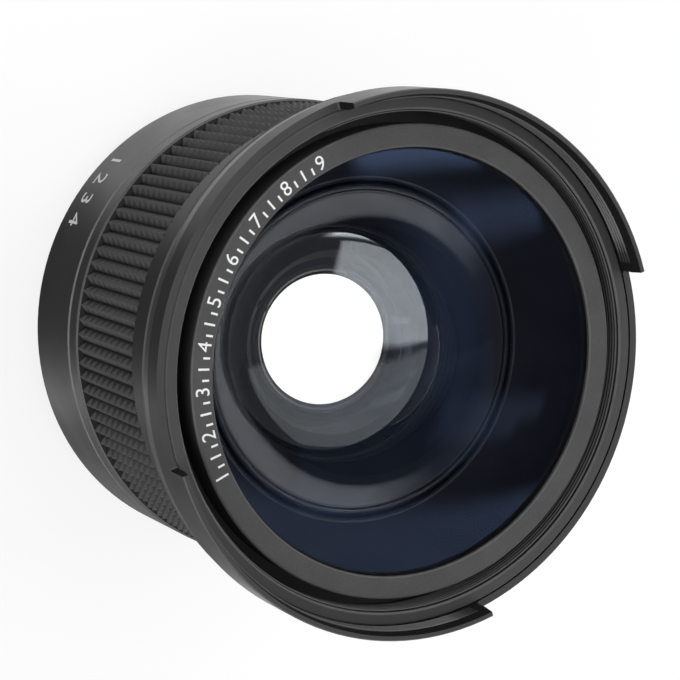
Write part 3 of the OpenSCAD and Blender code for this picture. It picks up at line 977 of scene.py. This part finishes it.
@dataclass
class Marks:
    """Plain numerals and ticks on the front ring and on the rear housing.

    Attributes:
        proud: height of the paint over the metal.
        ring_foot: radius on which the front ring's numerals stand.
        ticks: heights of the ticks between two numerals as shares of a numeral's.
        rear_base: height of the rear numerals' feet.
    """

    proud: float = 0.02 * MM
    curve_steps: int = 6
    ring_size: float = 2.3 * MM
    ring_foot: float = 35.45 * MM
    ring_first: float = 232.0
    ring_step: float = -11.0
    ring_count: int = 9
    tick_width: float = 0.34 * MM
    ticks: tuple[float, ...] = (0.5, 0.8, 0.5)
    rear_text: str = "1234"
    rear_size: float = 3.8 * MM
    rear_first: float = 160.0
    rear_step: float = 6.0
    rear_base: float = 7.6 * MM

    def numeral(self, mesh: BMesh, text: str, size: float, place: Placing) -> None:
        """Adds one numeral, centred across its foot.

        Args:
            mesh: bmesh to add to.
            text: the numeral.
            size: height of the numeral.
            place: where the mark goes.
        """
        curve = bpy.data.curves.new("glyph", "FONT")
        curve.body = text
        curve.align_x = "CENTER"
        curve.size = 1.0
        curve.resolution_u = self.curve_steps
        holder = new_object("glyph", curve)
        graph = bpy.context.evaluated_depsgraph_get()
        flat = bpy.data.meshes.new_from_object(holder.evaluated_get(graph))
        top = max(v.co.y for v in flat.vertices)
        points = [v.co * (size / top) for v in flat.vertices]
        faces = [list(p.vertices) for p in flat.polygons]
        bpy.data.objects.remove(holder)
        bpy.data.curves.remove(curve)
        bpy.data.meshes.remove(flat)
        self.stamp(mesh, points, faces, place)

    def stamp(
        self, mesh: BMesh, points: Sequence[Vector], faces: Sequence[Sequence[int]],
        place: Placing,
    ) -> None:
        """Adds flat faces as a thin raised layer.

        Args:
            mesh: bmesh to add to.
            points: points in the plane.
            faces: faces as point indices.
            place: where the mark goes.
        """
        upper = [mesh.verts.new(place(p, self.proud)) for p in points]
        lower = [mesh.verts.new(place(p, -self.proud)) for p in points]
        edges: dict[tuple[int, int], None] = {}
        for face in faces:
            mesh.faces.new([upper[i] for i in face])
            mesh.faces.new([lower[i] for i in reversed(face)])
            edges.update(dict.fromkeys(zip(face, [*face[1:], face[0]])))
        for a, b in edges:
            if (b, a) not in edges:
                mesh.faces.new([upper[a], lower[a], lower[b], upper[b]])

    def on_ring(self, top: float, azimuth: float, point: Vector, lift: float) -> Vector:
        """Finds a mark's point on the front ring."""
        turn = math.radians(azimuth) - point.x / (self.ring_foot + self.ring_size / 2)
        return on_circle(self.ring_foot + point.y, turn, top + lift)

    def on_wall(self, wall: float, azimuth: float, point: Vector, lift: float) -> Vector:
        """Finds a mark's point on the rear housing."""
        turn = math.radians(azimuth) + point.x / wall
        return on_circle(wall + lift, turn, self.rear_base + point.y)

    def ring(self) -> None:
        """Builds the front ring's numerals and the ticks between them."""
        _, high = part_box("name_ring")
        half = self.tick_width / 2
        mesh = bmesh.new()
        for k in range(self.ring_count):
            azimuth = self.ring_first + k * self.ring_step
            spot = partial(self.on_ring, high.z, azimuth)
            self.numeral(mesh, str(k + 1), self.ring_size, spot)
            if k == self.ring_count - 1:
                break
            for index, height in enumerate(self.ticks):
                share = (index + 1) / (len(self.ticks) + 1)
                spot = partial(self.on_ring, high.z, azimuth + self.ring_step * share)
                top = height * self.ring_size
                corners = ((-half, 0.0), (half, 0.0), (half, top), (-half, top))
                self.stamp(mesh, [Vector((*at, 0.0)) for at in corners], [[0, 1, 2, 3]], spot)
        add_piece(mesh, "ring_numerals", [INK], Body.FRONT)

    def rear(self) -> None:
        """Builds the numerals on the rear housing."""
        _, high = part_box("rear_housing")
        mesh = bmesh.new()
        for k, text in enumerate(self.rear_text):
            spot = partial(self.on_wall, high.x, self.rear_first + k * self.rear_step)
            self.numeral(mesh, text, self.rear_size, spot)
        add_piece(mesh, "rear_numerals", [INK], Body.REAR)

    def build(self) -> None:
        """Builds all marks."""
        self.ring()
        self.rear()


@dataclass
class Metalwork:
    """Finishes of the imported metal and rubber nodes, and the visible threads."""

    cap: ThreadRidge = ThreadRidge(
        "cap_thread", 40.75 * MM, 0.3 * MM, (-5.4 * MM, -0.6 * MM), Side.INWARD, Body.FRONT,
        CAP_CREST,
    )
    petal: ThreadRidge = ThreadRidge(
        "petal_thread_1", 42.95 * MM, 0.2 * MM, (0.45 * MM, 2.75 * MM), Side.INWARD, Body.FRONT,
        CREST, start=47.0, sweep=86.0,
    )
    other_petal: ThreadRidge = replace(petal, name="petal_thread_2", start=227.0)
    mount: ThreadRidge = ThreadRidge(
        "mount_thread", 26.0 * MM, 0.16 * MM, (0.6 * MM, 3.5 * MM), Side.OUTWARD, Body.REAR, REAR
    )

    def build(self) -> None:
        """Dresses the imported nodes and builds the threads."""
        for name, finish in NODE_FINISH.items():
            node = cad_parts[name]
            node.data.materials.clear()
            node.data.materials.append(finish.material())
            LOG.info("node %s takes %s", name, finish.name)
        for ridge in (self.cap, self.petal, self.other_petal, self.mount):
            ridge.build()


@dataclass(frozen=True)
class SoftLight:
    """A soft round patch of light in the studio's sky, which fades out at its spread."""

    direction: Triple
    spread: float
    strength: float

    def wire(self, graph: Graph, toward: Socket) -> Socket:
        """Makes the patch's brightness from a direction in the sky."""
        near = graph.facing(toward, Vector(self.direction).normalized())
        return graph.remap(near, cosine(self.spread), 1.0, 0.0, self.strength, True)


@dataclass(frozen=True)
class SkyPanel:
    """A level softbox in the studio's sky.

    Attributes:
        across: start and end along its first direction, per unit of height.
        along: start and end along its second direction, per unit of height.
        strength: brightness of its face.
        dome: brightness of its image on the dome.
        blur: width of its soft edge.
        turn: its first direction about the axis.
    """

    across: Pair
    along: Pair
    strength: float
    dome: float
    blur: float = 0.012
    turn: float = 34.1

    def wire(
        self, graph: Graph, place: tuple[Socket, Socket], sharp: Socket
    ) -> Socket:
        """Makes the panel as a value that changes with the place in the sky.

        Args:
            graph: the sky's node tree.
            place: sockets with the place on the ceiling.
            sharp: socket that is 1 in the image on the dome.

        Returns:
            The panel's brightness.
        """
        total = graph.math("MULTIPLY_ADD", sharp, self.dome - self.strength, self.strength)
        x, y = place
        cos, sin = math.cos(math.radians(self.turn)), math.sin(math.radians(self.turn))
        for part_x, part_y, (start, end) in ((cos, sin, self.across), (-sin, cos, self.along)):
            spot = graph.math("MULTIPLY_ADD", x, part_x, graph.math("MULTIPLY", y, part_y))
            off = graph.math("ABSOLUTE", graph.math("SUBTRACT", spot, (start + end) / 2))
            half = (end - start) / 2
            share = graph.remap(off, half + self.blur, half - self.blur, smooth=True)
            total = graph.math("MULTIPLY", total, share)
        return total


@dataclass(frozen=True)
class PaintedFloorShade:
    """Painted shade on the floor's glow where mirrored surfaces see it, darkest towards one
    side.

    Attributes:
        azimuth: direction of its middle.
        core: half angle of its darkest part.
        reach: half angle at which it ends.
        share: share of light that is left in the middle.
    """

    azimuth: float
    core: float
    reach: float
    share: float

    def wire(self, graph: Graph, place: Socket) -> Socket:
        """Makes the share of light that is left from a place on the floor."""
        near = graph.facing(place, on_circle(1.0, math.radians(self.azimuth), 0.0))
        return graph.remap(near, cosine(self.reach), cosine(self.core), 1.0, self.share, True)


LIGHTS: tuple[SoftLight, ...] = (
    SoftLight((-0.3, 0.85, 0.43), 40.0, 1.3),
    SoftLight((-0.45, -0.8, 0.4), 40.0, 2.1),
)
PANELS: tuple[SkyPanel, ...] = (
    # Panels that the second element and the metal mirror.
    SkyPanel((0.52, 0.98), (-0.23, 0.3), 3.9, 0.0),
    SkyPanel((0.98, 1.4), (0.1, 0.26), 3.4, 0.0, blur=0.07),
    SkyPanel((0.1, 0.98), (-0.72, -0.26), 0.95, 0.24),
    SkyPanel((0.95, 1.3), (-0.75, -0.56), 1.8, 0.0, blur=0.08),
    SkyPanel((0.45, 1.15), (0.41, 0.56), 11.0, 2.75, blur=0.06),
    SkyPanel((0.0, 0.95), (-1.4, -0.92), 2.9, 0.0, blur=0.12),
    # Panels that only the dome shows, as blue veils.
    SkyPanel((0.55, 0.9), (-0.35, 0.25), 0.0, 0.7, blur=0.17),
    SkyPanel((0.85, 1.65), (0.1, 0.26), 0.0, 1.0, blur=0.07),
    SkyPanel((0.78, 1.42), (-0.31, -0.14), 0.0, 0.48, blur=0.06, turn=15.0),
    SkyPanel((1.42, 1.72), (-0.24, -0.14), 0.0, 0.46, blur=0.06, turn=15.0),
    SkyPanel((-0.8, 2.4), (-1.7, -0.53), 0.0, 0.86, blur=0.09, turn=10.8),
)
# Painted shades on the floor's glow that the metal mirrors.
PAINTED_FLOOR_SHADES: tuple[PaintedFloorShade, ...] = (
    PaintedFloorShade(194.0, 6.0, 36.0, 0.1),
    PaintedFloorShade(258.0, 14.0, 36.0, 0.34),
)


@dataclass(frozen=True)
class Floor(Finish):
    """Pale paper, part of whose white isn't shaded.

    Attributes:
        glow: that part where the camera sees the floor.
        through_glow: that part where it is seen through the glass.
        mirrored_glow: that part in reflections, darkened by painted floor shades.
    """

    glow: float = 0.8
    through_glow: float = 1.3
    mirrored_glow: float = 1.1

    def dress(self, graph: Graph, shader: Node, vector: Socket) -> Sequence[float]:
        """Adds the white for each kind of ray. See Finish.dress."""
        # Painted shade: the floor's glow in reflections is darker towards given azimuths.
        shares = [side.wire(graph, vector) for side in PAINTED_FLOOR_SHADES]
        unshaded = reduce(partial(graph.math, "MULTIPLY"), shares)
        rays = {
            "Is Camera Ray": self.glow,
            "Is Transmission Ray": self.through_glow,
            "Is Glossy Ray": graph.math("MULTIPLY", unshaded, self.mirrored_glow),
        }
        path = graph.node("LightPath").outputs
        glows = [graph.math("MULTIPLY", path[ray], glow) for ray, glow in rays.items()]
        shader.inputs["Emission Color"].default_value = rgba(WHITE)
        graph.feed(
            shader.inputs["Emission Strength"], reduce(partial(graph.math, "MAXIMUM"), glows)
        )
        return rgba(self.colour)


PALE_FLOOR = Floor("pale_floor", (0.24, 0.24, 0.24), 0.9, 0.0)


@dataclass
class Studio:
    """Floor, light and camera.

    Attributes:
        sky: strength of the even light.
        horizon: lowest height of a direction that still meets the ceiling.
        mirrored_sky: share of the even light in its image on the dome.
        coating: colour of the sky's image on the dome's coating. It is set on the sky, so that
            few samples show no grain.
        focal_px: focal length in pixels of the image.
    """

    floor_size: float = 4.0
    floor_gap: float = 0.05 * MM
    sky: float = 0.32
    horizon: float = 0.05
    mirrored_sky: float = 0.25
    coating: Colour = (0.27, 0.41, 0.78)
    position: Triple = (-181.43 * MM, -30.0 * MM, 365.52 * MM)
    right: Triple = (0.779759, 0.409636, 0.473472)
    up: Triple = (-0.395432, 0.908547, -0.134819)
    focal_px: float = 2200.0
    clip: Pair = (0.01, 20.0)

    def floor(self) -> None:
        """Makes the pale floor, which keeps a soft shadow."""
        mesh = bmesh.new()
        bmesh.ops.create_grid(mesh, x_segments=1, y_segments=1, size=self.floor_size)
        ground = new_object("floor", mesh)
        ground.location.z = -self.floor_gap
        ground.data.materials.append(PALE_FLOOR.material())

    def sky_light(self) -> None:
        """Makes the even light around the object, with the soft patches and panels in it."""
        world = bpy.data.worlds.new("studio")
        world.use_nodes = True
        world.node_tree.nodes.clear()
        graph = Graph(world.node_tree)
        toward = graph.node("TexCoord").outputs["Generated"]
        path = graph.node("LightPath").outputs
        # Images on the outermost glass, before any light has gone through glass.
        outer = graph.math("LESS_THAN", path["Transmission Depth"], 0.5)
        sharp = graph.math("MULTIPLY", path["Is Singular Ray"], outer)
        total = graph.math("MAXIMUM", path["Is Camera Ray"], self.sky)
        for light in LIGHTS:
            total = graph.math("ADD", total, light.wire(graph, toward))
        share = graph.math("MULTIPLY_ADD", sharp, self.mirrored_sky - 1.0, 1.0)
        total = graph.math("MULTIPLY", total, share)
        x, y, z = graph.split(toward)
        ceiling = graph.math("MAXIMUM", z, self.horizon)
        place = (graph.math("DIVIDE", x, ceiling), graph.math("DIVIDE", y, ceiling))
        for panel in PANELS:
            total = graph.math("ADD", total, panel.wire(graph, place, sharp))
        coated = graph.mix(sharp, WHITE, self.coating)
        shade = graph.node("Background", {"Color": coated, "Strength": total})
        graph.node("OutputWorld", {"Surface": shade.outputs[0]})
        bpy.context.scene.world = world

    def camera(self) -> None:
        """Makes the camera of the photograph's view."""
        data = bpy.data.cameras.new("camera")
        data.sensor_width = SENSOR_MM
        data.lens = self.focal_px / IMAGE_PX * SENSOR_MM
        data.clip_start, data.clip_end = self.clip
        holder = new_object("camera", data)
        right, up = Vector(self.right).normalized(), Vector(self.up).normalized()
        turn = Matrix((right, up, right.cross(up))).transposed().to_4x4()
        holder.matrix_world = Matrix.Translation(Vector(self.position)) @ turn
        bpy.context.scene.camera = holder

    def build(self) -> None:
        """Builds the stage and sets how colours are shown."""
        self.floor()
        self.sky_light()
        self.camera()
        bpy.context.scene.view_settings.view_transform = "Standard"


def main() -> None:
    """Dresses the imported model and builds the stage."""
    logging.basicConfig(level=logging.INFO, format="%(name)s: %(message)s")
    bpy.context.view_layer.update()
    Metalwork().build()
    GlassGroup().build()
    Marks().build()
    Studio().build()


if __name__ == "__main__":
    main()
